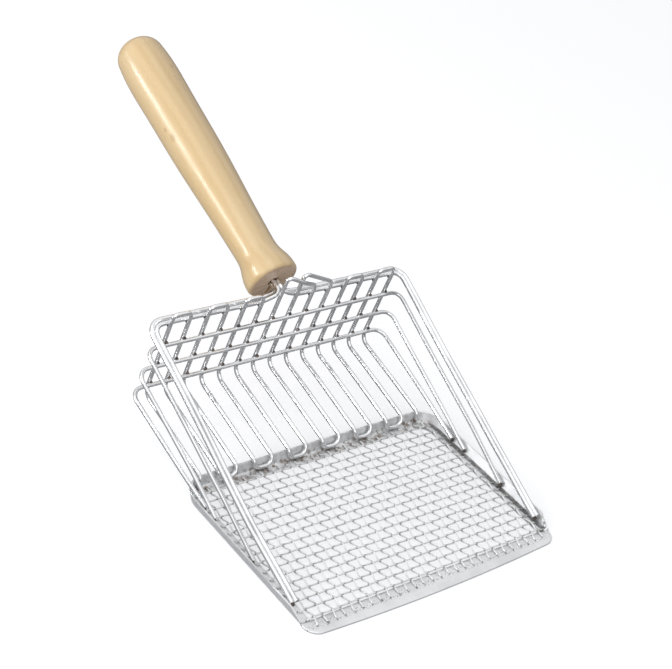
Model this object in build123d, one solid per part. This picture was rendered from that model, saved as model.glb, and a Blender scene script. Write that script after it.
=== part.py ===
"""Beach sand scoop: a turned wooden handle on a wire basket with a woven sifting floor.

Millimetres, Z up. The mouth faces -Y and the handle rises towards +Y. The origin is on
the underside of the front lip, in the middle of its width, so the scoop rests on Z = 0.
The pieces are joined for good by welding, and nothing on the scoop moves.
"""

import os
from math import cos, radians, sin, sqrt, tan

from build123d import *

os.makedirs("parts", exist_ok=True)

# Wire gauges
rim_dia = 2.2
wire_dia = 2.0
mesh_dia = 0.8
fit_gap = 0.02

# Bent sheet frame around the floor
sheet = 0.8
frame_half_width = 74.7
frame_back_y = 93.5
frame_front_y = 5.6
frame_corner_radius = 11.0
ledge_width = 5.0
flange_height = 5.4
flange_lean = radians(20)
bend_radius = 1.5
flange_taper = 8.0

# Front lip plate
lip_half_width = 75.0
lip_rear_y = 5.5
lip_side_y = -2.2
lip_front_y = -4.6
lip_corner_radius = 7.0
lip_edge = 0.3

# Woven floor: long wires run front to back, cross wires run side to side
mesh_pitch = 5.08
long_count = 28
cross_count = 17
first_cross_y = 5.7
long_front_y = 1.8
long_back_y = 90.4
cross_half_length = 71.6
cross_crimp = 0.12

# Back wall of the basket, leaning towards the mouth
wall_lean = radians(8.1)
bend_y = 142.4
bend_z = 17.5
bend_corner_radius = 5.0
loop_top_z = 65.2

# Serpentine wire: fourteen runs up the back wall
run_count = 14
run_pitch = 10.18
foot_bend_y = 93.5
foot_bend_z = 6.75
foot_y = 92.0
foot_z = 2.6
foot_bend_radius = 2.0
foot_corner_radius = 3.0
loop_corner_left = 1.6
loop_corner_right = 3.2
tall_loop_z = 74.2
crossing_z = 70.0
crossing_y = 132.9

# Hoops, listed bottom, middle, top: height, half width, sideways shift, corner radius
hoops = {
    "hoop_lower": (24.1, 76.2, -1.9, 6.0),
    "hoop_middle": (36.1, 76.5, -1.5, 5.5),
    "hoop_upper": (48.9, 76.0, -1.3, 5.0),
}
# Where the hoop legs meet the side flanges, left then right, measured from the origin
hoop_feet_y = {
    "hoop_lower": (78.0, 73.0),
    "hoop_middle": (70.5, 64.0),
    "hoop_upper": (42.0, 37.5),
}
# How far the legs bow up (+) or sag (-) on their way down, left then right
hoop_bow = {
    "hoop_lower": (-0.5, 0.3),
    "hoop_middle": (1.2, 0.3),
    "hoop_upper": (1.2, 1.1),
}
leg_end_x = 73.2
leg_end_z = 3.6
leg_bow_radius = 70.0
leg_knee = 0.72

# Double rim: an inner and an outer wire on each side, meeting in the handle
rim_y = 139.7
rim_z = 59.8
rim_half_width = 74.9
rim_shift = -0.2
rim_gap = 0.12
rim_corner_radius = 6.0
rim_feet_y = (14.6, 12.0)
rim_foot_x = 73.5
rim_foot_z = 4.0
rim_bow = (-1.9, -0.7)
tang_x = -2.2
tang_rise_x = 11.0
tang_bend_radius = 3.5
tang_depth = 46.0

# Handle
handle_tilt = radians(20)
handle_face_y = 145.6
handle_face_z = 63.9
handle_length = 148.3
bore_dia = 5.6
bore_depth = 52.0
slot_width = 2.0
slot_depth = 3.0
slot_reach = 20.0

# Weld beads, and the glue round the tang
bead_gap = 0.05
wall_bead_radius = 1.15
wall_bead_rise = 1.1
frame_bead_radius = 1.1
grid_bead_back = 0.8
grid_bead_drop = 0.9
hoop_bead_out = 0.5
hoop_bead_drop = 1.1
rim_bead_in = 0.6
rim_bead_drop = 1.4
tip_tack_radius = 0.4
side_tack_radius = 0.6
glue_gap = 0.03


def bent_path(points, radii):
    """A path of straight lines through the points, its corners rounded by the radii."""
    corners = [Vector(*point) for point in points]
    edges = []
    start = corners[0]
    for before, corner, after, radius in zip(corners, corners[1:], corners[2:], radii):
        arriving = (corner - before).normalized()
        leaving = (after - corner).normalized()
        half_turn = radians(arriving.get_angle(leaving)) / 2
        setback = radius * tan(half_turn)
        arc_start = corner - arriving * setback
        arc_end = corner + leaving * setback
        inward = (leaving - arriving).normalized()
        arc_middle = corner + inward * (radius / cos(half_turn) - radius)
        edges.append(Line(start, arc_start))
        edges.append(ThreePointArc(arc_start, arc_middle, arc_end))
        start = arc_end
    edges.append(Line(start, corners[-1]))
    return Wire(edges)


def round_wire(path, diameter):
    """A round wire swept along the path."""
    section = Plane(origin=path @ 0, z_dir=path % 0) * Circle(diameter / 2)
    return sweep(section, path=path)


def save(name, shape, colour):
    """Write one node as its own STEP file."""
    shape.label = name
    shape.color = colour
    export_step(shape, f"parts/{name}.step")


def group(solids):
    """Several separate solids that share one node."""
    return Compound(children=list(solids))


steel = Color(0.78, 0.79, 0.80)
bright_steel = Color(0.72, 0.73, 0.75)
weld_grey = Color(0.32, 0.32, 0.33)
birch = Color(0.86, 0.70, 0.47)
amber = Color(0.78, 0.62, 0.30)


# ---------------------------------------------------------------- sheet frame and lip
flange_out = flange_height * tan(flange_lean)
wall_out = sheet / cos(flange_lean)
profile = Polyline(
    (-ledge_width, 0),
    (0, 0),
    (flange_out, flange_height),
    (flange_out - wall_out, flange_height),
    (sheet * tan(flange_lean) - wall_out, sheet),
    (-ledge_width, sheet),
    close=True,
)
frame_section = make_face(profile)
outer_bend = frame_section.vertices().sort_by_distance((0, 0, 0))[0]
frame_section = fillet(outer_bend, bend_radius)
inner_bend = frame_section.vertices().sort_by_distance((-wall_out, sheet, 0))[0]
frame_section = fillet(inner_bend, bend_radius - sheet)

frame_path = bent_path(
    [
        (-frame_half_width, frame_front_y, 0),
        (-frame_half_width, frame_back_y, 0),
        (frame_half_width, frame_back_y, 0),
        (frame_half_width, frame_front_y, 0),
    ],
    [frame_corner_radius, frame_corner_radius],
)
start_plane = Plane(
    origin=(-frame_half_width, frame_front_y, 0), x_dir=(-1, 0, 0), z_dir=(0, 1, 0)
)
base_frame = sweep(start_plane * frame_section, path=frame_path)
frame_clearance = sweep(start_plane * offset(frame_section, bead_gap), path=frame_path)

# The side flanges run out to nothing at the front.
taper_cut = make_face(
    Polyline(
        (frame_front_y - 1, 2 * sheet),
        (frame_front_y, 2 * sheet),
        (frame_front_y + flange_taper, flange_height + 1),
        (frame_front_y - 1, flange_height + 1),
        close=True,
    )
)
taper_plane = Plane(origin=(-1.2 * frame_half_width, 0, 0), x_dir=(0, 1, 0), z_dir=(1, 0, 0))
base_frame -= extrude(taper_plane * taper_cut, 2.4 * frame_half_width)
save("base_frame", base_frame, bright_steel)

lip_outline = Polyline(
    (-lip_half_width, lip_side_y),
    (-lip_half_width, lip_rear_y),
    (lip_half_width, lip_rear_y),
    (lip_half_width, lip_side_y),
) + ThreePointArc(
    (lip_half_width, lip_side_y), (0, lip_front_y), (-lip_half_width, lip_side_y)
)
lip_face = make_face(lip_outline)
lip_face = fillet(lip_face.vertices().group_by(Axis.Y)[0], lip_corner_radius)
front_lip = extrude(lip_face, sheet)
front_edges = front_lip.faces().sort_by(Axis.Z)[-1].edges().sort_by(Axis.Y)[0:3]
front_lip = chamfer(front_edges, lip_edge)
save("front_lip", front_lip, bright_steel)


# ---------------------------------------------------------------- woven floor
long_crimp = mesh_dia + fit_gap - cross_crimp
mesh_z = sheet + fit_gap + mesh_dia / 2 + long_crimp
half_pitch = mesh_pitch / 2


def crimp_height(offset, side, crimp):
    """Height of the wire centre at an offset from a crossing, over (+1) or under (-1)."""
    arc_radius = (half_pitch**2 + crimp**2) / (2 * crimp)
    drop = arc_radius - sqrt(arc_radius**2 - offset**2)
    return mesh_z + side * (crimp - drop)


def crimp_arc(crossing, start, end, side, crimp):
    """One arc of the weave, between two offsets from its crossing."""
    offsets = (start, (start + end) / 2, end)
    return ThreePointArc(*[(crossing + s, crimp_height(s, side, crimp)) for s in offsets])


def crimped_path(crossings, first_side, start, end, crimp):
    """Centre line of a woven wire, drawn along X with its height along Y."""
    side = first_side
    edges = []
    low = crimp_height(0, -1, crimp)
    first = crossings[0]
    if side < 0:
        edges.append(Line((start, low), (first, low)))
    else:
        previous = first - mesh_pitch
        edges.append(crimp_arc(previous, start - previous, half_pitch, -side, crimp))
        edges.append(crimp_arc(first, -half_pitch, 0, side, crimp))
    for crossing, following in zip(crossings, crossings[1:]):
        edges.append(crimp_arc(crossing, 0, half_pitch, side, crimp))
        edges.append(crimp_arc(following, -half_pitch, 0, -side, crimp))
        side = -side
    last = crossings[-1]
    if side < 0:
        edges.append(Line((last, low), (end, low)))
    else:
        following = last + mesh_pitch
        edges.append(crimp_arc(last, 0, half_pitch, side, crimp))
        edges.append(crimp_arc(following, -half_pitch, min(0, end - following), -side, crimp))
    return Wire(edges)


cross_positions = [first_cross_y + mesh_pitch * k for k in range(cross_count)]
long_positions = [mesh_pitch * (k - (long_count - 1) / 2) for k in range(long_count)]
along_y = Plane(origin=(0, 0, 0), x_dir=(0, 1, 0), z_dir=(1, 0, 0))
along_x = Plane(origin=(0, 0, 0), x_dir=(1, 0, 0), z_dir=(0, -1, 0))

long_wires = []
for side in (1, -1):
    path = crimped_path(cross_positions, side, long_front_y, long_back_y, long_crimp)
    wire = round_wire(along_y * path, mesh_dia)
    first = 0 if side > 0 else 1
    long_wires += [Pos(x, 0, 0) * wire for x in long_positions[first::2]]
save("mesh_long_wires", group(long_wires), steel)

cross_wires = []
for side in (-1, 1):
    path = crimped_path(long_positions, side, -cross_half_length, cross_half_length, cross_crimp)
    wire = round_wire(along_x * path, mesh_dia)
    first = 0 if side < 0 else 1
    cross_wires += [Pos(0, y, 0) * wire for y in cross_positions[first::2]]
save("mesh_cross_wires", group(cross_wires), steel)


# ---------------------------------------------------------------- serpentine back grid


def wall_y(height):
    """Depth of the serpentine's centre line on the back wall at a height."""
    return bend_y - (height - bend_z) * tan(wall_lean)


def run_x(number):
    """Sideways position of a run, counted from one at the left."""
    return run_pitch * (number - (run_count + 1) / 2)


def upward(number):
    """Corner points of one run from its foot up to the wall bend, with corner radii."""
    x = run_x(number)
    points = [(x, foot_y, foot_z), (x, foot_bend_y, foot_bend_z), (x, bend_y, bend_z)]
    return points, [foot_corner_radius, foot_bend_radius, bend_corner_radius]


def low_loop(left_corner, right_corner):
    """Top corners of an ordinary loop between two neighbouring runs."""
    top = wall_y(loop_top_z)
    points = [(run_x(left_corner), top, loop_top_z), (run_x(right_corner), top, loop_top_z)]
    return points, [loop_corner_left, loop_corner_right]


def tall_loop(rising, falling, middle):
    """Top corners of a loop that steps over its neighbour beside the handle."""
    points = [(run_x(rising), wall_y(tall_loop_z), tall_loop_z)]
    points += middle
    points += [(run_x(falling), wall_y(loop_top_z), loop_top_z)]
    return points, [loop_corner_left] + [loop_corner_right] * (len(points) - 1)


over_run_8 = [(run_x(8), crossing_y, crossing_z)]
loops = [
    (1, 2, low_loop(1, 2)),
    (3, 4, low_loop(3, 4)),
    (5, 6, low_loop(5, 6)),
    (7, 9, tall_loop(7, 9, over_run_8)),
    (8, 10, tall_loop(8, 10, [])),
    (11, 12, low_loop(11, 12)),
    (13, 14, low_loop(13, 14)),
]
grid_points = []
grid_radii = []
for rising, falling, (top_points, top_radii) in loops:
    up_points, up_radii = upward(rising)
    down_points, down_radii = upward(falling)
    grid_points += up_points + top_points + down_points[::-1]
    grid_radii += up_radii + top_radii + down_radii[::-1]
grid_path = bent_path(grid_points, grid_radii[1:-1])
save("back_grid", round_wire(grid_path, wire_dia), steel)


# ---------------------------------------------------------------- hoops


def hoop_y(height):
    """Depth of a hoop's centre line, just in front of the runs."""
    return wall_y(height) - (wire_dia + fit_gap) / cos(wall_lean)


def leg_knee_point(corner, foot, bow):
    """A point part of the way down a leg, lifted or lowered by its bow."""
    start = Vector(*corner)
    run = Vector(*foot) - start
    knee = start + run * leg_knee
    return (knee.X, knee.Y, knee.Z + bow)


def hoop_path(name):
    """A leg up from the left flange, the straight back, and a leg down to the right."""
    height, half_width, shift, radius = hoops[name]
    depth = hoop_y(height)
    left = (shift - half_width, depth, height)
    right = (shift + half_width, depth, height)
    left_foot = (-leg_end_x, hoop_feet_y[name][0], leg_end_z)
    right_foot = (leg_end_x, hoop_feet_y[name][1], leg_end_z)
    left_knee = leg_knee_point(left, left_foot, hoop_bow[name][0])
    right_knee = leg_knee_point(right, right_foot, hoop_bow[name][1])
    return bent_path(
        [left_foot, left_knee, left, right, right_knee, right_foot],
        [leg_bow_radius, radius, radius, leg_bow_radius],
    )


for name in hoops:
    save(name, round_wire(hoop_path(name), wire_dia), steel)


# ---------------------------------------------------------------- handle and its tang
handle_axis = Plane(
    origin=(tang_x, handle_face_y, handle_face_z),
    x_dir=(1, 0, 0),
    z_dir=(0, cos(handle_tilt), sin(handle_tilt)),
)

# Turned outline: radius against distance from the face next to the basket
handle_outline = Spline(
    (12.9, 2.2),
    (12.45, 7.0),
    (10.5, 14.0),
    (10.2, 21.0),
    (11.0, 45.0),
    (12.3, 76.0),
    (12.75, 110.0),
    (12.3, 136.5),
    (11.4, 141.8),
    (8.9, 145.8),
    (4.8, 147.8),
    (0, handle_length),
    tangents=[(0, 1), (-1, 0)],
)
handle_face = Line((0, 0), (11.0, 0)) + ThreePointArc((11.0, 0), (12.4, 0.7), (12.9, 2.2))
handle_half = make_face(handle_face + handle_outline + Line((0, handle_length), (0, 0)))
blank = revolve(Plane.XZ * handle_half, Axis.Z)
blank -= extrude(Circle(bore_dia / 2), bore_depth)
blank -= Pos(0, slot_reach / 2, 0) * Box(slot_width, slot_reach, 2 * slot_depth)
handle = handle_axis * blank
save("handle", handle, birch)


# ---------------------------------------------------------------- double rim
rim_step = (rim_dia + rim_gap) / 2
tang_step = (rim_dia + 2 * fit_gap) / 2
rim_slope_left = Vector(0, rim_feet_y[0] - rim_y, rim_foot_z - rim_z).normalized()
rim_slope_right = Vector(0, rim_feet_y[1] - rim_y, rim_foot_z - rim_z).normalized()


def tang_point(side, level, distance):
    """A point on one tang wire, by its distance into the handle from the end face."""
    return handle_axis.from_local_coords((side * tang_step, level * tang_step, distance))


def rim_wire(side, level):
    """Half of one rim wire: side is -1 left or +1 right, level -1 inner or +1 outer."""
    slope = rim_slope_left if side < 0 else rim_slope_right
    out = level * rim_step
    depth = rim_y - slope.Y * out
    height = rim_z - slope.Z * out
    corner = (rim_shift + side * (rim_half_width + out), depth, height)
    index = 0 if side < 0 else 1
    foot = (side * (rim_foot_x - rim_step + out), rim_feet_y[index], rim_foot_z)
    knee = leg_knee_point(corner, foot, rim_bow[index])
    tang_end = tang_point(side, level, tang_depth)
    face_gap = (depth - handle_face_y) / cos(handle_tilt)
    tang_bend = tang_point(side, level, face_gap)
    straight = (tang_x + side * tang_rise_x, depth, height)
    radius = rim_corner_radius + out
    return bent_path(
        [tuple(tang_end), tuple(tang_bend), straight, corner, knee, foot],
        [tang_bend_radius, tang_bend_radius, radius, leg_bow_radius],
    )


rim_names = {
    (-1, -1): "rim_left_inner",
    (-1, 1): "rim_left_outer",
    (1, -1): "rim_right_inner",
    (1, 1): "rim_right_outer",
}
for (side, level), name in rim_names.items():
    save(name, round_wire(rim_wire(side, level), rim_dia), steel)


# ---------------------------------------------------------------- glue in the handle's bore
glue_start = slot_depth + glue_gap
glue_radius = bore_dia / 2 - glue_gap
tang_clearance = rim_dia / 2 + glue_gap
glue = extrude(Circle(glue_radius), bore_depth - glue_gap - glue_start)
channel = extrude(Circle(tang_clearance), tang_depth - glue_start + glue_gap)
for side, level in rim_names:
    glue -= Pos(side * tang_step, level * tang_step, 0) * channel
save("handle_glue", handle_axis * (Pos(0, 0, glue_start) * glue), amber)


# ---------------------------------------------------------------- weld beads


def bead(centre, radius, metal):
    """A small round bead of weld, cut back clear of the metal it sits on."""
    ball = Pos(*centre) * Sphere(radius)
    for piece in metal:
        ball -= piece
    return ball


def thick(path, diameter):
    """A wire with the clearance that its beads keep."""
    return round_wire(path, diameter + 2 * bead_gap)


def bar(centre, direction, diameter):
    """A short straight length of wire with the clearance that its beads keep."""
    rod = Cylinder(diameter / 2 + bead_gap, 4 * diameter)
    return Plane(origin=centre, z_dir=direction) * rod


run_direction = (0, -sin(wall_lean), cos(wall_lean))
runs = range(1, run_count + 1)

# One bead on top of each hoop at each run
for name in hoops:
    height = hoops[name][0]
    bead_z = height + wall_bead_rise
    centre = (0, (wall_y(bead_z) + hoop_y(bead_z)) / 2, bead_z)
    run_bar = bar((0, wall_y(height), height), run_direction, wire_dia)
    hoop_bar = bar((0, hoop_y(height), height), (1, 0, 0), wire_dia)
    one = bead(centre, wall_bead_radius, [run_bar, hoop_bar])
    save(f"welds_{name}", group([Pos(run_x(n), 0, 0) * one for n in runs]), weld_grey)

# One bead under the rim's inner wire at each run, clear of the two beside the handle
inner_y = rim_y + rim_slope_left.Y * rim_step
inner_z = rim_z + rim_slope_left.Z * rim_step
bead_z = inner_z - wall_bead_rise
centre = (0, (wall_y(bead_z) + inner_y) / 2, bead_z)
run_bar = bar((0, wall_y(inner_z), inner_z), run_direction, wire_dia)
rim_bar = bar((0, inner_y, inner_z), (1, 0, 0), rim_dia)
one = bead(centre, wall_bead_radius, [run_bar, rim_bar])
beside_handle = (7, 8)
outer_runs = [n for n in runs if n not in beside_handle]
save("welds_rim", group([Pos(run_x(n), 0, 0) * one for n in outer_runs]), weld_grey)

# Beads in the corner of the frame: under the grid's low loops, the hoop legs and the rim
grid_feet_x = [run_x(1)]
for (_, falling, _), (rising, _, _) in zip(loops, loops[1:]):
    grid_feet_x.append((run_x(falling) + run_x(rising)) / 2)
grid_feet_x.append(run_x(run_count))
metal = [thick(grid_path, wire_dia), frame_clearance]
grid_feet = []
for x in grid_feet_x:
    centre = (x, foot_y + grid_bead_back, foot_z - grid_bead_drop)
    grid_feet.append(bead(centre, frame_bead_radius, metal))
save("welds_grid_feet", group(grid_feet), weld_grey)

hoop_feet = []
for name in hoops:
    metal = [thick(hoop_path(name), wire_dia), frame_clearance]
    for side, y in zip((-1, 1), hoop_feet_y[name]):
        centre = (side * (leg_end_x + hoop_bead_out), y, leg_end_z - hoop_bead_drop)
        hoop_feet.append(bead(centre, frame_bead_radius, metal))
save("welds_hoop_feet", group(hoop_feet), weld_grey)

rim_feet = []
for side, y in zip((-1, 1), rim_feet_y):
    metal = [thick(rim_wire(side, level), rim_dia) for level in (-1, 1)] + [frame_clearance]
    centre = (side * (rim_foot_x - rim_bead_in), y, rim_foot_z - rim_bead_drop)
    rim_feet.append(bead(centre, frame_bead_radius, metal))
save("welds_rim_feet", group(rim_feet), weld_grey)

# Tacks at the tips of the woven wires, flat where they sit on the sheet


def tack(radius, height):
    """One tack at the origin, its middle at a height above the sheet's clearance."""
    ball = Pos(0, 0, height) * Sphere(radius)
    keep = Pos(0, 0, 2 * radius) * Box(4 * radius, 4 * radius, 4 * radius)
    return Pos(0, 0, sheet + bead_gap) * (ball & keep)


tip_tack = tack(tip_tack_radius, 0)
side_tack = tack(side_tack_radius, side_tack_radius)
tip_offset = tip_tack_radius + bead_gap
side_offset = side_tack_radius + bead_gap
front_tacks = [Pos(x, long_front_y - tip_offset, 0) * tip_tack for x in long_positions]
save("welds_mesh_front", group(front_tacks), weld_grey)
rear_tacks = [Pos(x, long_back_y + tip_offset, 0) * tip_tack for x in long_positions]
save("welds_mesh_rear", group(rear_tacks), weld_grey)
side_tacks = [
    Pos(side * (cross_half_length + side_offset), y, 0) * side_tack
    for side in (-1, 1)
    for y in cross_positions
]
save("welds_mesh_sides", group(side_tacks), weld_grey)
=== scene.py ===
import heapq
import math
import random

import bmesh
import bpy
import numpy as np
from mathutils import Matrix, Vector, kdtree, noise


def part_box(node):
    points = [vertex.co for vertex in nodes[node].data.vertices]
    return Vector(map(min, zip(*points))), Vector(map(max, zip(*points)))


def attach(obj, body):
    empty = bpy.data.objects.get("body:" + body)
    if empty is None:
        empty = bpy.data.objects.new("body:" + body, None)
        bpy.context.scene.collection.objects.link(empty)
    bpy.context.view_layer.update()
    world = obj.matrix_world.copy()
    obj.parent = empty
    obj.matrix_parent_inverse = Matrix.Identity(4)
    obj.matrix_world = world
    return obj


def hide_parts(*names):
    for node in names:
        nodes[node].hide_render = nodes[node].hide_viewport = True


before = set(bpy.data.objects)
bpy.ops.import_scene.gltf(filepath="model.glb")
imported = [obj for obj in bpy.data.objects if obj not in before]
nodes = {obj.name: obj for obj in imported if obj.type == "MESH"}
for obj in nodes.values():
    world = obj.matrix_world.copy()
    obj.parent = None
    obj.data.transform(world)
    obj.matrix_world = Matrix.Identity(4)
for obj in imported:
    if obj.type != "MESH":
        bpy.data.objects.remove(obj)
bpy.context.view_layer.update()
random.seed(7)
noise.seed_set(7)  # noise vectors are otherwise seeded by the clock

mm = 0.001

# The wires' sizes and the sieve's wire counts, as in the CAD.
wire_radius = 1.0 * mm
rim_radius = 1.1 * mm
mesh_radius = 0.4 * mm
long_count = 28
cross_count = 17

# The CAD boxes that the rest is placed by.
handle_low, handle_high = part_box("handle")
frame_low, frame_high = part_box("base_frame")
long_low, long_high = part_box("mesh_long_wires")
cross_low, cross_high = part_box("mesh_cross_wires")


# ------------------------------------------------------------------ reading the CAD frame
def surface(node):
    """A CAD node's points, their smooth normals and its triangles."""
    mesh = nodes[node].data
    points = np.empty(len(mesh.vertices) * 3, np.float32)
    mesh.vertices.foreach_get("co", points)
    points = points.reshape(-1, 3).astype(float)
    corners = np.empty(len(mesh.loops), np.int32)
    mesh.loops.foreach_get("vertex_index", corners)
    normals = np.zeros_like(points)
    normals[corners] = np.array([tuple(n.vector) for n in mesh.corner_normals])
    return points, normals, corners.reshape(-1, 3)


def clusters(points, reach):
    """A label for each point, shared by points within reach, and the mean place of each label."""
    tree = kdtree.KDTree(len(points))
    for i, point in enumerate(points):
        tree.insert(point, i)
    tree.balance()
    label = np.full(len(points), -1)
    means = []
    for i, point in enumerate(points):
        if label[i] >= 0:
            continue
        near = [k for _, k, _ in tree.find_range(point, reach) if label[k] < 0]
        label[near] = len(means)
        means.append(points[near].mean(0))
    return label, np.array(means)


def walk(start, links, places):
    """Distances along the links from a start, and the way back from each place."""
    distance = {start: 0.0}
    back = {}
    queue = [(0.0, start)]
    while queue:
        gone, here = heapq.heappop(queue)
        if gone > distance[here]:
            continue
        for other in links[here]:
            there = gone + float(np.linalg.norm(places[here] - places[other]))
            if there < distance.get(other, math.inf):
                distance[other] = there
                back[other] = here
                heapq.heappush(queue, (there, other))
    return distance, back


flat_turn = 1e-3    # a triangle whose normals differ by less than this is part of a cut end
same_ring = 0.3     # of the radius: how near the shrunken points of one ring are
shortest_line = 10  # of the radius: anything shorter isn't a wire


def centre_lines(node, radius):
    """The centre line of each wire in a CAD node: every ring of its surface shrinks to a point."""
    points, normals, faces = surface(node)
    turn = np.abs(normals[faces[:, 0]] - normals[faces[:, 1]]).sum(1)
    turn += np.abs(normals[faces[:, 1]] - normals[faces[:, 2]]).sum(1)
    wall = faces[turn > flat_turn]
    used = np.unique(wall)
    label, places = clusters((points - radius * normals)[used], same_ring * radius)
    place_of = dict(zip(used.tolist(), label.tolist()))
    links = {k: set() for k in range(len(places))}
    for face in wall:
        a, b, c = (place_of[int(i)] for i in face)
        for one, other in ((a, b), (b, c), (c, a)):
            if one != other:
                links[one].add(other)
                links[other].add(one)
    found = []
    left = set(links)
    while left:
        distance, _ = walk(next(iter(left)), links, places)
        left -= set(distance)
        end = max(distance, key=distance.get)
        distance, back = walk(end, links, places)
        here = max(distance, key=distance.get)
        if distance[here] < shortest_line * radius:
            continue
        line = [places[here]]
        while here in back:
            here = back[here]
            line.append(places[here])
        found.append(np.array(line))
    return found


def blob_places(node, reach):
    """The middle of each separate small solid in a CAD node."""
    points, _, _ = surface(node)
    label, means = clusters(points, reach)
    groups = [points[label == k] for k in range(len(means))]
    return [(group.min(0) + group.max(0)) / 2 for group in groups]


def smoothstep(low, high, value):
    """Smooth rise from 0 at low to 1 at high."""
    t = min(1.0, max(0.0, (value - low) / (high - low)))
    return t * t * (3 - 2 * t)


hand_bend = 0.45 * mm
hand_bend_spacing = 55 * mm


def drift(point):
    """How far hand bending leaves the wire from its ideal place. It fades out inside the handle."""
    free = 1 - smoothstep(handle_low.y - 12 * mm, handle_low.y, point[1])
    raised = smoothstep(3 * mm, 12 * mm, point[2])
    wander = noise.noise_vector(Vector(point) / hand_bend_spacing)
    return np.array(wander) * hand_bend * free * raised


# ------------------------------------------------------------------ building meshes
def smooth_path(points, step, easing):
    """Evenly spaced points along a bent wire, with its corners eased."""
    lengths = np.linalg.norm(np.diff(points, axis=0), axis=1)
    distance = np.concatenate([[0], np.cumsum(lengths)])
    count = max(4, int(round(distance[-1] / step)))
    even = np.linspace(0, distance[-1], count + 1)
    path = np.stack([np.interp(even, distance, points[:, k]) for k in range(3)], 1)
    for _ in range(easing):
        path[1:-1] = (path[:-2] + 2 * path[1:-1] + path[2:]) / 4
    return path


no_wire_way = (0.31, 0.17, 0.93)  # a direction that no wire starts along


def tube(path, radius, sides, round_end):
    """Points and faces of one wire along a path, with a small bevel at its cut ends."""
    along = np.gradient(path, axis=0)
    along /= np.linalg.norm(along, axis=1)[:, None]
    side = np.cross(along[0], no_wire_way)
    frames = []
    for direction in along:
        side = side - direction * np.dot(side, direction)
        side /= np.linalg.norm(side)
        frames.append((side, np.cross(direction, side)))
    angles = np.arange(sides) * 2 * math.pi / sides
    bevel = round_end * radius
    last = len(path) - 1
    stations = [(0, -bevel, 1 - round_end)]
    stations += [(i, 0.0, 1.0) for i in range(len(path))]
    stations += [(last, bevel, 1 - round_end)]
    rings = []
    for index, shift, scale in stations:
        a, b = frames[index]
        centre = path[index] + along[index] * shift
        ring = np.outer(np.cos(angles), a) + np.outer(np.sin(angles), b)
        rings.append(centre + radius * scale * ring)
    faces = []
    for k in range(len(rings) - 1):
        here, there = k * sides, (k + 1) * sides
        for j in range(sides):
            n = (j + 1) % sides
            faces.append((here + j, here + n, there + n, there + j))
    faces.append(tuple(range(sides))[::-1])
    end = (len(rings) - 1) * sides
    faces.append(tuple(range(end, end + sides)))
    return np.concatenate(rings), faces


# Angles in radians. Steeper edges than this stay sharp.
wire_crease = 0.7
lump_crease = 3.2
lip_crease = 0.9
handle_crease = 0.6


def piece(name, points, faces, material, stands_for, crease=wire_crease):
    """A new visible object that rides on the scoop's one body and stands for CAD nodes."""
    mesh = bpy.data.meshes.new(name)
    mesh.from_pydata([tuple(p) for p in points], [], faces)
    mesh.validate()
    graph = bmesh.new()
    graph.from_mesh(mesh)
    bmesh.ops.recalc_face_normals(graph, faces=graph.faces[:])
    graph.to_mesh(mesh)
    graph.free()
    mesh.shade_smooth()
    mesh.set_sharp_from_angle(angle=crease)
    mesh.materials.append(material)
    made = bpy.data.objects.new(name, mesh)
    bpy.context.scene.collection.objects.link(made)
    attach(made, "root")
    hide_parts(*stands_for)
    return made


def join(shapes):
    """Several (points, faces) shapes as one."""
    points, faces, count = [], [], 0
    for some_points, some_faces in shapes:
        points.append(some_points)
        faces += [tuple(i + count for i in face) for face in some_faces]
        count += len(some_points)
    return np.concatenate(points), faces


def float_attribute(made, name, values):
    """A number per vertex that the material reads."""
    layer = made.data.attributes.new(name, "FLOAT", "POINT")
    layer.data.foreach_set("value", np.asarray(values, np.float32))


# ------------------------------------------------------------------ materials
class NodeTree:
    """The node tree of a material or a world, under construction."""

    def __init__(self, owner):
        owner.use_nodes = True
        self.tree = owner.node_tree

    def node(self, kind, **settings):
        """A new node with its settings."""
        made = self.tree.nodes.new(kind)
        for key, value in settings.items():
            setattr(made, key, value)
        return made

    def put(self, value, socket):
        """Connects a socket, or sets a plain value."""
        if isinstance(value, bpy.types.NodeSocket):
            self.tree.links.new(value, socket)
        else:
            socket.default_value = value

    def axes(self, vector):
        """A vector's X, Y and Z."""
        made = self.node("ShaderNodeSeparateXYZ")
        self.put(vector, made.inputs[0])
        return made.outputs["X"], made.outputs["Y"], made.outputs["Z"]

    def spread(self, value, low, high, to_low=0.0, to_high=1.0, curve="SMOOTHSTEP"):
        """The value between low and high, spread over a new range and clamped."""
        made = self.node("ShaderNodeMapRange", interpolation_type=curve)
        limits = {"From Min": low, "From Max": high, "To Min": to_low, "To Max": to_high}
        for key, number in {"Value": value, **limits}.items():
            self.put(number, made.inputs[key])
        return made.outputs["Result"]

    def calculate(self, operation, *values):
        """One sum of a math node."""
        made = self.node("ShaderNodeMath", operation=operation)
        for value, socket in zip(values, made.inputs):
            self.put(value, socket)
        return made.outputs["Value"]

    def plus(self, a, b):
        return self.calculate("ADD", a, b)

    def times(self, a, b):
        return self.calculate("MULTIPLY", a, b)

    def mix(self, share, a, b):
        """Colour a where the share is 0 and colour b where it is 1."""
        made = self.node("ShaderNodeMix", data_type="RGBA")
        for value, index in ((share, 0), (a, 6), (b, 7)):
            self.put(value, made.inputs[index])
        return made.outputs[2]


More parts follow.
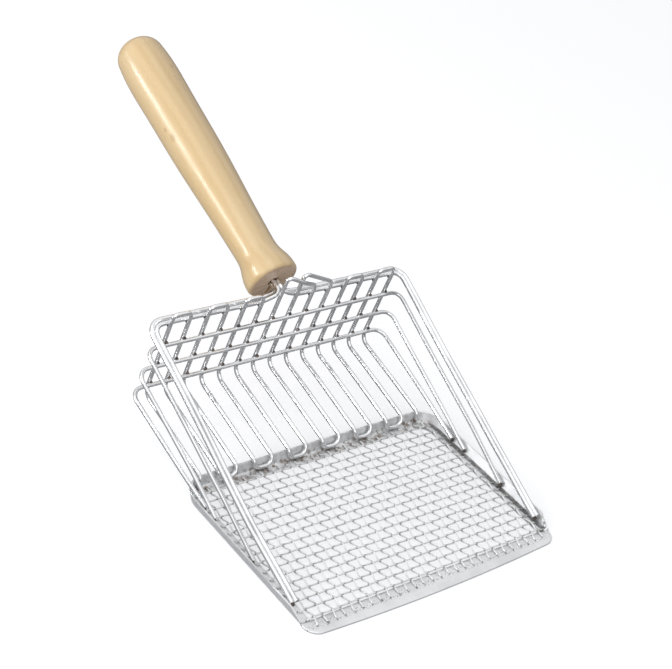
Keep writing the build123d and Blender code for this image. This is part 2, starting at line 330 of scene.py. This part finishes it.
class Look(NodeTree):
    """A procedural material under construction."""

    def __init__(self, name):
        self.material = bpy.data.materials.new(name)
        super().__init__(self.material)
        self.shader = self.tree.nodes["Principled BSDF"]
        self.place = self.node("ShaderNodeTexCoord").outputs["Object"]

    def stretched(self, scale, turn=(0, 0, 0)):
        """The object's own space, scaled along each axis and turned."""
        made = self.node("ShaderNodeMapping")
        for key, value in (("Vector", self.place), ("Scale", scale), ("Rotation", turn)):
            self.put(value, made.inputs[key])
        return made.outputs["Vector"]

    def noise(self, scale, detail, rough, where=None, twist=0.0):
        """Cloudy noise from 0 to 1. A higher scale makes it finer."""
        made = self.node("ShaderNodeTexNoise")
        self.put(self.place if where is None else where, made.inputs["Vector"])
        settings = {"Scale": scale, "Detail": detail, "Roughness": rough, "Distortion": twist}
        for key, value in settings.items():
            self.put(value, made.inputs[key])
        return made.outputs["Fac"]

    def attribute(self, name):
        """What float_attribute stored."""
        return self.node("ShaderNodeAttribute", attribute_name=name).outputs["Fac"]

    def bump(self, height, strength, depth, onto="Normal"):
        """Fine relief in the shading, for the surface or for its coat."""
        made = self.node("ShaderNodeBump")
        for key, value in (("Strength", strength), ("Distance", depth), ("Height", height)):
            self.put(value, made.inputs[key])
        self.put(made.outputs["Normal"], self.shader.inputs[onto])

    def set(self, **values):
        """Sets the shader's inputs and hands over the finished material."""
        for key, value in values.items():
            self.put(value, self.shader.inputs[key.replace("_", " ")])
        return self.material


def grey(level, tint=0.0):
    """A nearly neutral colour, cooler as tint rises."""
    return (level * (1 - tint), level, level * (1 + tint), 1)


straw_stain = (0.50, 0.42, 0.34, 1)
burnt_stain = (0.085, 0.075, 0.075, 1)
crossing_shade_grey = (0.3, 0.293, 0.285, 1)
heat_brown = (0.20, 0.14, 0.10, 1)
ledge_shadow = (0.11, 0.105, 0.10, 1)
corner_dark = (0.07, 0.07, 0.07, 1)
tip_grime = (0.09, 0.09, 0.09, 1)
weld_dark = (0.075, 0.065, 0.062, 1)
weld_brown = (0.21, 0.17, 0.15, 1)
tack_dark = (0.20, 0.19, 0.185, 1)
tack_pale = (0.52, 0.51, 0.50, 1)
birch_gold = (0.71, 0.515, 0.265, 1)
birch_band = (0.63, 0.435, 0.20, 1)
birch_pale = (0.75, 0.58, 0.345, 1)
birch_fibre = (0.54, 0.37, 0.19, 1)
birch_fleck = (0.45, 0.28, 0.13, 1)
birch_knot = (0.42, 0.24, 0.09, 1)
end_grain_dark = (0.52, 0.34, 0.20, 1)
end_grain_pale = (0.68, 0.48, 0.31, 1)
glue_dark = (0.30, 0.17, 0.06, 1)
glue_pale = (0.50, 0.33, 0.13, 1)


def plated_wire():
    """Bright plated wire, patchy and speckled, stained brown and black by heat near its welds."""
    look = Look("plated_wire")
    cloud = look.noise(70, 4, 0.6)
    specks = look.noise(1500, 2, 0.5)
    patches = look.spread(look.noise(420, 3, 0.6), 0.25, 0.65, 0.45, 1.0)
    heat = look.times(look.attribute("heat"), patches)
    base = look.mix(look.spread(cloud, 0.35, 0.7), grey(0.90, 0.01), grey(0.74, 0.012))
    base = look.mix(look.spread(specks, 0.66, 0.8, 0, 0.15), base, grey(0.42))
    base = look.mix(look.spread(heat, 0.12, 0.45), base, straw_stain)
    base = look.mix(look.spread(heat, 0.4, 0.85), base, burnt_stain)
    rough = look.spread(cloud, 0.3, 0.75, 0.10, 0.24)
    rough = look.plus(rough, look.spread(heat, 0.1, 0.8, 0, 0.35))
    scale = look.times(heat, look.noise(1400, 2, 0.7))
    look.bump(look.plus(look.noise(900, 3, 0.6), scale), 0.035, 0.25 * mm)
    return look.set(Base_Color=base, Metallic=1.0, Roughness=rough)


def woven_wire():
    """Duller drawn wire of the sieve, with shade painted where the wires press on each other."""
    look = Look("woven_wire")
    cloud = look.noise(55, 4, 0.6)
    fine = look.noise(2600, 3, 0.6)
    base = look.mix(look.spread(cloud, 0.3, 0.7), grey(0.92, 0.01), grey(0.8, 0.01))
    base = look.mix(look.spread(fine, 0.5, 0.75, 0, 0.4), base, grey(0.56))
    # Painted shade where the wires cross.
    base = look.mix(look.attribute("crossing"), base, crossing_shade_grey)
    look.bump(fine, 0.15, 0.1 * mm)
    rough = look.spread(fine, 0.3, 0.7, 0.32, 0.5)
    return look.set(Base_Color=base, Metallic=0.6, Roughness=rough)


def sheet_stains_and_shade(look):
    """(mask, colour) of each dark mark on the sheet, stains and painted shade, the lowest first."""
    x, y, z = look.axes(look.place)
    blotch = look.noise(330, 4, 0.65)

    # Welding has browned the foot of the rear wall.
    behind = look.spread(y, frame_high.y - 11 * mm, frame_high.y - 4 * mm)
    rear = look.times(behind, look.spread(blotch, 0.42, 0.62))
    stain = look.times(rear, look.spread(z, 3.2 * mm, 1.4 * mm, 0.22, 0.9))

    # Painted shade: a dark line runs along the ledge at the foot of the right wall, where the bend
    # lies in shadow.
    beside = look.spread(x, frame_high.x - 5.2 * mm, frame_high.x - 4.2 * mm)
    ledge = look.times(beside, look.spread(z, 1.6 * mm, 1.1 * mm))
    ledge = look.times(ledge, look.spread(y, frame_low.y - 0.4 * mm, frame_low.y + 0.4 * mm))
    line = look.times(ledge, look.spread(blotch, 0.2, 0.6, 0.5, 0.9))

    # A mottled dark patch lies in the right front corner.
    corner = look.times(look.spread(x, 62 * mm, 73 * mm), look.spread(y, 14 * mm, 6 * mm))
    corner = look.times(corner, look.spread(y, 2.5 * mm, 5 * mm))
    corner_patch = look.times(corner, look.spread(look.noise(900, 3, 0.7), 0.42, 0.58))

    # Specks lie where the long wires' tips reach the lip.
    from_tips = look.calculate("ABSOLUTE", look.calculate("SUBTRACT", y, long_low.y))
    grains = look.spread(look.noise(1250, 3, 0.7), 0.55, 0.63)
    specks = look.times(look.spread(from_tips, 2.6 * mm, 0.4 * mm), grains)

    return (
        (stain, heat_brown),
        (line, ledge_shadow),
        (look.times(corner_patch, 0.75), corner_dark),
        (look.times(specks, 0.8), tip_grime),
    )


def sheet_steel():
    """Thin bright sheet with rolling lines, smudges, fine scratches, some dirt and painted shade.
    """
    look = Look("sheet_steel")
    smudge = look.noise(38, 5, 0.62)
    rolled = look.noise(120, 4, 0.6, look.stretched((0.6, 9.0, 9.0)))
    scratch = look.noise(260, 2, 0.5, look.stretched((1.0, 14.0, 1.0), (0, 0, 0.5)), 0.4)
    base = look.mix(look.spread(smudge, 0.3, 0.72), grey(0.91, 0.012), grey(0.76, 0.016))
    base = look.mix(look.spread(rolled, 0.45, 0.8, 0, 0.3), base, grey(0.86))
    base = look.mix(look.spread(scratch, 0.70, 0.78, 0, 0.4), base, grey(0.50))
    for mask, colour in sheet_stains_and_shade(look):
        base = look.mix(mask, base, colour)
    rough = look.spread(smudge, 0.3, 0.75, 0.34, 0.5)
    rough = look.plus(rough, look.spread(rolled, 0.3, 0.8, 0, 0.1))
    relief = look.plus(look.times(rolled, 0.35), look.times(smudge, 1.2))
    look.bump(relief, 0.16, 0.6 * mm)
    return look.set(Base_Color=base, Metallic=0.72, Roughness=rough)


def weld_metal():
    """Spot weld: burnt, rough and uneven, with a few bright worn tops."""
    look = Look("weld_metal")
    patch = look.noise(700, 4, 0.65)
    grit = look.noise(4200, 3, 0.7)
    base = look.mix(look.spread(patch, 0.35, 0.65), weld_dark, weld_brown)
    base = look.mix(look.spread(grit, 0.62, 0.78, 0, 0.7), base, grey(0.45, 0.02))
    look.bump(look.plus(patch, grit), 0.5, 0.25 * mm)
    rough = look.spread(grit, 0.3, 0.7, 0.38, 0.72)
    return look.set(Base_Color=base, Metallic=0.75, Roughness=rough)


def tack_metal():
    """Small tack: greyer and smoother than the big welds."""
    look = Look("tack_metal")
    patch = look.noise(900, 3, 0.6)
    base = look.mix(look.spread(patch, 0.35, 0.65), tack_dark, tack_pale)
    look.bump(patch, 0.4, 0.2 * mm)
    rough = look.spread(patch, 0.3, 0.7, 0.25, 0.5)
    return look.set(Base_Color=base, Metallic=0.9, Roughness=rough)


def varnished_birch():
    """Pale turned wood under varnish: fibres along Z, faint bands, dark pores and small knots."""
    look = Look("varnished_birch")

    def grain(across, along, detail, rough):
        return look.noise(1.0, detail, rough, look.stretched((across, across, along)))

    fibres = grain(900, 22, 4, 0.65)
    pores = grain(1700, 120, 2, 0.5)
    cloud = grain(60, 12, 3, 0.55)
    bands = look.node("ShaderNodeTexWave", bands_direction="X")
    look.put(look.stretched((1.0, 0.35, 0.16), (0.06, 0.10, 0.4)), bands.inputs["Vector"])
    ripples = {"Scale": 75, "Distortion": 3.2, "Detail": 2.5, "Detail Scale": 1.2}
    for key, value in ripples.items():
        look.put(value, bands.inputs[key])
    growth = look.spread(bands.outputs["Fac"], 0.1, 0.95, 0, 0.55)

    base = look.mix(growth, birch_gold, birch_band)
    base = look.mix(look.spread(cloud, 0.3, 0.7, 0, 0.5), base, birch_pale)
    base = look.mix(look.spread(fibres, 0.52, 0.8, 0, 0.35), base, birch_fibre)
    base = look.mix(look.spread(pores, 0.70, 0.80, 0, 0.5), base, birch_fleck)
    base = look.mix(look.spread(look.attribute("knot"), 0.1, 0.9, 0, 0.5), base, birch_knot)
    end_grain = look.mix(look.spread(fibres, 0.35, 0.7), end_grain_dark, end_grain_pale)
    base = look.mix(look.attribute("end_grain"), base, end_grain)

    look.bump(look.plus(look.times(fibres, 0.6), cloud), 0.12, 0.4 * mm)
    look.bump(grain(520, 260, 3, 0.6), 0.22, 0.3 * mm, "Coat Normal")
    rough = look.spread(grain(300, 60, 3, 0.6), 0.3, 0.7, 0.30, 0.42)
    haze = look.spread(grain(90, 40, 3, 0.6), 0.35, 0.7, 0.20, 0.38)
    coat = {"Coat_Weight": 0.9, "Coat_Roughness": haze, "Coat_IOR": 1.5}
    return look.set(Base_Color=base, Roughness=rough, **coat)


def amber_glue():
    """Hardened brown glue with trapped bubbles."""
    look = Look("amber_glue")
    bubbles = look.noise(1800, 2, 0.5)
    base = look.mix(look.spread(bubbles, 0.4, 0.7), glue_dark, glue_pale)
    look.bump(bubbles, 0.3, 0.2 * mm)
    rough = look.spread(bubbles, 0.3, 0.7, 0.2, 0.4)
    return look.set(Base_Color=base, Roughness=rough)


plated = plated_wire()
woven = woven_wire()
sheet = sheet_steel()
welded = weld_metal()
tacked = tack_metal()
birch = varnished_birch()
glue = amber_glue()

# ------------------------------------------------------------------ welds
weld_nodes = [name for name in nodes if name.startswith("welds") and "mesh" not in name]
tack_nodes = [name for name in nodes if name.startswith("welds_mesh")]
weld_reach = 3.2 * mm  # further than a weld is wide, nearer than the next one
tack_reach = 1.6 * mm
weld_places = {name: blob_places(name, weld_reach) for name in weld_nodes}


def blob(centre, size, seed, detail):
    """A lump of weld: a ball pushed about by coarse and fine noise."""
    graph = bmesh.new()
    bmesh.ops.create_icosphere(graph, subdivisions=detail, radius=1.0)
    points = np.array([tuple(v.co) for v in graph.verts])
    faces = [tuple(v.index for v in f.verts) for f in graph.faces]
    graph.free()
    swell = []
    for point in points:
        coarse = noise.noise(Vector(point) * 1.1 + Vector((seed, 0, 0)))
        fine = noise.noise(Vector(point) * 3.1 + Vector((0, seed, 0)))
        swell.append(1 + 0.30 * coarse + 0.10 * fine)
    return points * np.array(swell)[:, None] * np.array(size) + np.array(centre), faces


lump_sizes = {"hoop": 0.66, "rim": 0.55, "grid": 1.05, "feet": 0.95}
lump_shape = np.array((1.2, 0.95, 1.0)) * mm
tack_shape = np.array((0.36, 0.5, 0.34)) * mm
seed_step = 3.7
seed = 0.0
for name, places in weld_places.items():
    at_feet = name in ("welds_hoop_feet", "welds_rim_feet")
    lump = lump_shape * lump_sizes["feet" if at_feet else name.split("_")[1]]
    shapes = []
    for place in places:
        seed += seed_step
        size = lump * random.uniform(0.88, 1.18)
        shapes.append(blob(place + drift(place), size, seed, 3))
    points, faces = join(shapes)
    piece(name + "_lumps", points, faces, welded, [name], lump_crease)

for name in tack_nodes:
    shapes = []
    for place in blob_places(name, tack_reach):
        seed += seed_step
        size = tack_shape * random.uniform(0.6, 1.35)
        jitter = np.array((random.uniform(-0.2, 0.2), random.uniform(-0.5, 0.3), 0)) * mm
        shapes.append(blob(place + jitter, size, seed, 2))
    points, faces = join(shapes)
    piece(name + "_lumps", points, faces, tacked, [name], lump_crease)

hot = [place + drift(place) for places in weld_places.values() for place in places]
hot_tree = kdtree.KDTree(len(hot))
for index, place in enumerate(hot):
    hot_tree.insert(place, index)
hot_tree.balance()
heat_reach = 1.7 * mm


def heat_of(points):
    """1 at a weld, falling to 0 a few millimetres away."""
    return [math.exp(-((hot_tree.find(p)[2] / heat_reach) ** 2)) for p in points]


# ------------------------------------------------------------------ bent wires
radii = {name: wire_radius for name in ("back_grid", "hoop_lower", "hoop_middle", "hoop_upper")}
radii.update({name: rim_radius for name in nodes if name.startswith("rim_")})
for name, radius in radii.items():
    line = max(centre_lines(name, radius), key=len)
    path = smooth_path(line, step=0.8 * mm, easing=3)
    path = np.array([p + drift(p) for p in path])
    points, faces = tube(path, radius, sides=16, round_end=0.22)
    made = piece(name + "_wire", points, faces, plated, [name])
    float_attribute(made, "heat", heat_of(points))

# ------------------------------------------------------------------ woven floor
long_xs = np.linspace(long_low.x + mesh_radius, long_high.x - mesh_radius, long_count)
cross_ys = np.linspace(cross_low.y + mesh_radius, cross_high.y - mesh_radius, cross_count)
pitch = cross_ys[1] - cross_ys[0]
weave_z = (cross_low.z + cross_high.z) / 2
long_crimp = (long_high.z - long_low.z) / 2 - mesh_radius
cross_crimp = (cross_high.z - cross_low.z) / 2 - mesh_radius
tip_z = long_low.z + mesh_radius
weave_step = 0.42 * mm

# In mm: the sieve's wires wander over wide stretches and kink over narrow ones.
wander = 0.36
wander_spacing = 21
kink = 0.20
kink_spacing = 6
sieve_border = 8

# How wide and how dark the painted shade at the wire crossings is.
crossing_shade_reach = 0.75 * mm
crossing_shade_strength = 0.75


def sag(x, y):
    """The floor's small unevenness, and how far its wires wander sideways."""
    shift = noise.noise_vector(Vector((x, y, 0.3)) / (wander_spacing * mm)) * wander * mm
    fine = noise.noise_vector(Vector((x, y, 0.9)) / (kink_spacing * mm)) * kink * mm
    edge_x = smoothstep(0, sieve_border * mm, min(x - cross_low.x, cross_high.x - x))
    edge_y = smoothstep(0, sieve_border * mm, min(y - long_low.y, long_high.y - y))
    hold = edge_x * edge_y
    return np.array((shift.x + fine.x, shift.y + fine.y, shift.z / 2 * hold))


def woven_wire_path(start, end, place_at, first_side, crossings, crimp):
    """One crimped wire: over and under, with its tips pressed down onto the sheet."""
    path = []
    for s in np.arange(start, end + 1e-6, weave_step):
        phase = (s - crossings[0]) / (crossings[1] - crossings[0])
        height = weave_z + first_side * crimp * math.cos(math.pi * phase)
        beyond = max(crossings[0] - s, s - crossings[-1])
        height += (tip_z - height) * smoothstep(0.15 * pitch, 0.65 * pitch, beyond)
        x, y = place_at(s)
        path.append(np.array((x, y, height)) + sag(x, y))
    return np.array(path)


def painted_crossing_shade(points):
    """1 where a wire passes over or under another, for the shade painted there."""
    steps = np.stack([points[:, 0] - long_xs[0], points[:, 1] - cross_ys[0]]) / pitch
    near_x, near_y = np.abs(steps - np.round(steps))
    close = np.hypot(near_x, near_y) * pitch
    return crossing_shade_strength * np.exp(-((close / crossing_shade_reach) ** 2))


def woven_wires(name, paths, node):
    """All wires of one direction as one piece."""
    shapes = [tube(path, mesh_radius, sides=10, round_end=0.2) for path in paths]
    points, faces = join(shapes)
    made = piece(name, points, faces, woven, [node])
    float_attribute(made, "crossing", painted_crossing_shade(points))


long_paths = []
for index, x in enumerate(long_xs):
    side = 1 if index % 2 == 0 else -1
    span = (long_low.y, long_high.y)
    long_paths.append(woven_wire_path(*span, lambda s: (x, s), side, cross_ys, long_crimp))
woven_wires("woven_long_wires", long_paths, "mesh_long_wires")

cross_paths = []
for index, y in enumerate(cross_ys):
    side = -1 if index % 2 == 0 else 1
    span = (cross_low.x, cross_high.x)
    cross_paths.append(woven_wire_path(*span, lambda s: (s, y), side, long_xs, cross_crimp))
woven_wires("woven_cross_wires", cross_paths, "mesh_cross_wires")


# ------------------------------------------------------------------ handle
faces_front = -0.7     # of a unit normal's y: the end face looks forward, and a bit down
same_plane = 0.99999   # of the cosine between two normals


def handle_axis(points, faces):
    """The way the handle points, taken from its flat end, which faces the other way."""
    triangles = points[faces]
    one_side = triangles[:, 1] - triangles[:, 0]
    other_side = triangles[:, 2] - triangles[:, 0]
    spans = np.cross(one_side, other_side)
    areas = np.linalg.norm(spans, axis=1)
    facing = spans / np.maximum(areas, 1e-15)[:, None]
    widest = np.argmax(np.where(facing[:, 1] < faces_front, areas, 0))
    flat = facing @ facing[widest] > same_plane
    way = -(facing[flat] * areas[flat, None]).sum(0)
    way[0] = 0
    return way / np.linalg.norm(way)


handle_points, _, handle_faces = surface("handle")
axis = handle_axis(handle_points, handle_faces)
across = Vector((1, 0, 0))
down = Vector(axis).cross(across)

depth = handle_points @ axis
face_depth = depth.min()
handle_length = depth.max() - face_depth
depth = depth - face_depth
flat_x = handle_points @ np.array(across)
flat_y = handle_points @ np.array(down)
mid_x = (handle_low.x + handle_high.x) / 2
swell_y = flat_y[(depth > handle_length * 0.6) & (depth < handle_length * 0.9)]
mid_y = (swell_y.min() + swell_y.max()) / 2
face_middle = axis * face_depth + np.array(across) * mid_x + np.array(down) * mid_y
out_from_axis = np.hypot(flat_x - mid_x, flat_y - mid_y)
near_bore = (out_from_axis > 2 * mm) & (out_from_axis < 3.5 * mm) & (depth < 60 * mm)
bore_radius = np.median(out_from_axis[near_bore])

first_slice = 2.4 * mm      # the CAD surface is measured in slices from here
slice_step = 1.1 * mm
slice_half = 0.7 * mm
shown_bore = 24 * mm        # the glue hides the bore from here on
skin_radius = 7.5 * mm      # everything further out is the handle's skin
face_edge_width = 1.9 * mm  # the rounded edge of the flat face
face_edge_depth = 2.1 * mm
butt_length = 9 * mm        # the rounded end that the hand covers
butt_fullness = 0.85
turning_waves = 0.11 * mm   # how uneven the skin is


def handle_profile():
    """(distance, radius) up the bore, across the face, along the skin and round the butt."""
    distances, widths = [], []
    for station in np.arange(first_slice, handle_length - butt_length, slice_step):
        near = (np.abs(depth - station) < slice_half) & (out_from_axis > skin_radius)
        if near.any():
            distances.append(float(np.median(depth[near])))
            widths.append(float(np.median(out_from_axis[near])))
    profile = [(shown_bore, 0.0), (shown_bore, bore_radius)]
    profile += [(d * mm, bore_radius) for d in (16, 8, 4, 1)]
    profile += [(0.25 * mm, bore_radius + 0.1 * mm), (0.0, bore_radius + 0.4 * mm)]
    flat_end = widths[0] - face_edge_width
    profile += [(0.0, r) for r in np.linspace(bore_radius + 0.8 * mm, flat_end, 9)]
    for k in range(1, 9):
        angle = k / 8 * math.pi / 2
        sunk = face_edge_depth * (1 - math.cos(angle))
        profile.append((sunk, flat_end + face_edge_width * math.sin(angle)))
    for distance in np.arange(3.0 * mm, distances[-1], 0.9 * mm):
        profile.append((distance, float(np.interp(distance, distances, widths))))
    last, width = distances[-1], widths[-1]
    for k in range(1, 16):
        angle = k / 16 * math.pi / 2
        distance = last + (handle_length - last) * math.sin(angle)
        profile.append((distance, width * math.cos(angle) ** butt_fullness))
    profile.append((handle_length, 0.0))
    return profile


def lathe(profile, segments):
    """Points and faces of a turned body about Z. Its ends close to a point."""
    points, faces, rings = [], [], []
    for distance, radius in profile:
        if radius < 1e-6:
            rings.append([len(points)])
            points.append((0, 0, distance))
            continue
        rings.append(list(range(len(points), len(points) + segments)))
        uneven = turning_waves * smoothstep(9 * mm, 11 * mm, radius)
        for k in range(segments):
            angle = 2 * math.pi * k / segments
            wave = noise.noise(Vector((math.cos(angle), math.sin(angle), distance * 24)))
            size = radius + wave * uneven
            points.append((size * math.cos(angle), size * math.sin(angle), distance))
    for one, two in zip(rings, rings[1:]):
        for k in range(segments):
            n = (k + 1) % segments
            corners = [one[k % len(one)], one[n % len(one)], two[n % len(two)], two[k % len(two)]]
            face = list(dict.fromkeys(corners))
            if len(face) > 2:
                faces.append(tuple(face))
    return np.array(points), faces


def cutter(name, size, at, turn):
    """A box that cuts the handle's end, used once and removed."""
    mesh = bpy.data.meshes.new(name)
    graph = bmesh.new()
    bmesh.ops.create_cube(graph, size=1)
    graph.to_mesh(mesh)
    graph.free()
    scaled = Matrix.Rotation(turn, 4, "Z") @ Matrix.Diagonal((*size, 1))
    mesh.transform(Matrix.Translation(at) @ scaled)
    made = bpy.data.objects.new(name, mesh)
    bpy.context.scene.collection.objects.link(made)
    return made


def carve(body, cutters, crease):
    """Cuts the boxes out of the body for good."""
    for tool in cutters:
        cut = body.modifiers.new(tool.name, "BOOLEAN")
        cut.object = tool
        cut.solver = "EXACT"
    bpy.context.view_layer.update()
    evaluated = body.evaluated_get(bpy.context.evaluated_depsgraph_get())
    carved = bpy.data.meshes.new_from_object(evaluated)
    body.modifiers.clear()
    body.data = carved
    for tool in cutters:
        bpy.data.objects.remove(tool)
    carved.shade_smooth()
    carved.set_sharp_from_angle(angle=crease)


points, faces = lathe(handle_profile(), segments=112)
handle = piece("turned_handle", points, faces, birch, ["handle"])
notch = cutter("notch", (2.0 * mm, 13 * mm, 6 * mm), at=(0, 8.2 * mm, 0), turn=0)
split = cutter("split", (0.3 * mm, 9 * mm, 9 * mm), at=(-6.0 * mm, 2.2 * mm, 0), turn=1.35)
carve(handle, [notch, split], handle_crease)
handle_turn = Matrix((across, down, Vector(axis))).transposed().to_4x4()
handle.matrix_world = Matrix.Translation(Vector(face_middle)) @ handle_turn

# Each knot's angle round the handle, its distance from the flat face and its size in mm.
knots = [(-2.84, 86, 1.5), (-2.95, 92, 0.8), (0.9, 52, 1.7), (-1.3, 122, 0.9), (2.1, 104, 1.2)]
grip_radius = 12.5 * mm
knot_stretch = 0.6
shape = np.array([tuple(v.co) for v in handle.data.vertices])
knot_value = np.zeros(len(shape))
for angle, distance, size in knots:
    away = np.arctan2(shape[:, 1], shape[:, 0]) - angle
    away = np.abs((away + math.pi) % (2 * math.pi) - math.pi) * grip_radius
    far = np.hypot(away, (shape[:, 2] - distance * mm) * knot_stretch)
    knot_value = np.maximum(knot_value, np.exp(-((far / (size * mm)) ** 2)))
float_attribute(handle, "knot", knot_value)
on_face = shape[:, 2] < 0.3 * mm
in_bore = (np.hypot(shape[:, 0], shape[:, 1]) < 6 * mm) & (shape[:, 2] < 60 * mm)
float_attribute(handle, "end_grain", np.where(on_face | in_bore, 1.0, 0.0))

# ------------------------------------------------------------------ front lip
lip_edge = 0.25 * mm    # the bevel along the sheet's edges
corner_lift = 1.5 * mm  # how far the right rear corner is bent up
lip_wave = 0.07 * mm
lip_wave_spacing = 16 * mm
lip_rows = 9
lip_columns = 181


def front_edge():
    """The CAD lip's front edge: its xs from left to right, and the y at each."""
    outline, _, _ = surface("front_lip")
    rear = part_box("front_lip")[1].y
    nearest = {}
    for x, y, z in outline:
        if z < 0.05 * mm and y < rear - 0.05 * mm:
            key = round(x, 6)
            nearest[key] = min(y, nearest.get(key, y))
    known = sorted(nearest)
    return known, [nearest[x] for x in known]


def lip_sheet():
    """The lip as thin sheet: the CAD outline with soft edges, slight waves and a bent corner."""
    low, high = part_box("front_lip")
    edge_xs, edge_ys = front_edge()
    thick = high.z - low.z
    # Each layer's height and how far its edge is set back.
    layers = [(0.0, lip_edge), (0.0, 0.0), (thick - lip_edge, 0.0), (thick, lip_edge)]
    points, rings = [], []
    for t in np.linspace(-math.pi / 2, math.pi / 2, lip_columns):
        x = high.x * math.sin(t)
        near = float(np.interp(x, edge_xs, edge_ys))
        top_x = x * (1 - lip_edge / high.x)
        width = high.y - near - 2 * lip_edge
        ring = []
        for height, inset in layers:
            ring.append((x * (1 - inset / high.x), near + inset, height))
        for k in range(1, lip_rows):
            ring.append((top_x, near + lip_edge + width * k / lip_rows, thick))
        for height, inset in layers[::-1]:
            ring.append((x * (1 - inset / high.x), high.y - inset, height))
        rings.append(range(len(points), len(points) + len(ring)))
        for px, py, pz in ring:
            wave = noise.noise(Vector((px, py, 0)) / lip_wave_spacing) * lip_wave
            away = math.hypot(px - high.x, py - high.y)
            curl = corner_lift * (1 - smoothstep(0.3 * mm, 2.6 * mm, away))
            lift = curl + (wave if pz > thick / 2 else 0)
            points.append((px, py, pz + lift))
    faces = []
    for one, two in zip(rings, rings[1:]):
        for k in range(len(one)):
            n = (k + 1) % len(one)
            faces.append((one[k], one[n], two[n], two[k]))
    faces.append(tuple(rings[0]))
    faces.append(tuple(rings[-1])[::-1])
    return np.array(points), faces


points, faces = lip_sheet()
piece("bent_front_lip", points, faces, sheet, ["front_lip"], lip_crease)

for name, material in (("handle_glue", glue), ("base_frame", sheet)):
    mesh = nodes[name].data
    mesh.materials.clear()
    mesh.materials.append(material)

# ------------------------------------------------------------------ floor, light and camera
paper = (0.62, 0.62, 0.63, 1)
paper_in_mirrors = (0.38, 0.38, 0.39, 1)
paper_glow = (0.97, 0.975, 1.0, 1)
paper_glow_strength = 0.56
paper_size = 60
paper_drop = 0.2 * mm


def studio_floor():
    """Pale paper. Reflections see it darker, which gives the wires their edges."""
    look = Look("studio_floor")
    ray = look.node("ShaderNodeLightPath").outputs
    shade = look.mix(ray["Is Glossy Ray"], paper, paper_in_mirrors)
    glow = look.times(ray["Is Camera Ray"], paper_glow_strength)
    look.set(Emission_Color=paper_glow, Emission_Strength=glow)
    return look.set(Base_Color=shade, Roughness=0.9, Specular_IOR_Level=0.0)


sky_low = (0.25, 0.25, 0.27, 1)
sky_middle = (0.55, 0.55, 0.57, 1)
sky_high = (1, 1, 1, 1)
sky_middle_at = 0.22
sky_high_at = 0.55
backdrop_colour = (1.3, 1.3, 1.32, 1)
sky_in_mirrors = 1.14
sky_elsewhere = 0.66


def studio_world():
    """Soft light, paler overhead and dimmer to the right. The camera itself sees plain white."""
    world = bpy.data.worlds.new("studio")
    sky = NodeTree(world)
    background = sky.tree.nodes["Background"]
    x, _, z = sky.axes(sky.node("ShaderNodeTexCoord").outputs["Generated"])

    ramp = sky.node("ShaderNodeValToRGB")
    sky.put(z, ramp.inputs["Fac"])
    stops = ramp.color_ramp.elements
    stops[0].color = sky_low
    stops[1].color = sky_high
    stops[1].position = sky_high_at
    stops.new(sky_middle_at).color = sky_middle

    dimmed = sky.node("ShaderNodeVectorMath", operation="SCALE")
    sky.put(ramp.outputs["Color"], dimmed.inputs[0])
    sky.put(sky.spread(x, -0.6, 0.8, 1.0, 0.78, "LINEAR"), dimmed.inputs["Scale"])

    ray = sky.node("ShaderNodeLightPath").outputs
    colour = sky.mix(ray["Is Camera Ray"], dimmed.outputs["Vector"], backdrop_colour)
    sky.put(colour, background.inputs["Color"])
    glossy = ray["Is Glossy Ray"]
    strength = sky.spread(glossy, 0, 1, sky_elsewhere, sky_in_mirrors, "LINEAR")
    sky.put(strength, background.inputs["Strength"])
    return world


def soft_box(name, at, aim, width, height, power, mirrored=True):
    """A rectangular studio light."""
    data = bpy.data.lights.new(name, "AREA")
    data.shape = "RECTANGLE"
    data.size = width
    data.size_y = height
    data.energy = power
    made = bpy.data.objects.new(name, data)
    made.location = at
    made.rotation_euler = (Vector(aim) - Vector(at)).to_track_quat("-Z", "Y").to_euler()
    made.visible_glossy = mirrored
    scene.collection.objects.link(made)


camera_place = (-0.4641, -0.3107, 0.4604)
camera_azimuth = math.radians(48.44)  # from Y towards X
camera_fall = math.radians(32.57)     # below level
camera_roll = math.radians(17.41)
camera_lens = 87.45
camera_sensor = 36


def camera_turn():
    """The camera's turn, from its azimuth, its fall and its roll."""
    flat = math.cos(camera_fall)
    forward = Vector((
        math.sin(camera_azimuth) * flat,
        math.cos(camera_azimuth) * flat,
        -math.sin(camera_fall),
    ))
    level_right = forward.cross(Vector((0, 0, 1))).normalized()
    level_up = level_right.cross(forward)
    right = math.cos(camera_roll) * level_right + math.sin(camera_roll) * level_up
    up = right.cross(forward)
    return Matrix((right, up, -forward)).transposed().to_4x4()


bpy.ops.mesh.primitive_plane_add(size=paper_size, location=(0, 0.1, -paper_drop))
ground = bpy.context.object
ground.name = "studio_floor"
ground.data.materials.append(studio_floor())

scene = bpy.context.scene
scene.view_settings.view_transform = "Standard"
scene.world = studio_world()

basket_middle = (0, 0.12, 0.04)
neck = (0, 0.21, 0.09)
soft_box("key", (-1.0, 0.66, 0.28), neck, 0.62, 0.14, 4.2)
soft_box("left", (-1.25, -0.05, 0.55), neck, 0.9, 0.7, 5, mirrored=False)
soft_box("top", (-0.3, 0.1, 1.3), basket_middle, 1.0, 1.0, 2)
soft_box("front", (-0.5, -1.1, 0.7), basket_middle, 0.9, 0.6, 2.5)

camera_data = bpy.data.cameras.new("camera")
camera_data.lens = camera_lens
camera_data.sensor_width = camera_sensor
camera = bpy.data.objects.new("camera", camera_data)
scene.collection.objects.link(camera)
camera.matrix_world = Matrix.Translation(camera_place) @ camera_turn()
scene.camera = camera
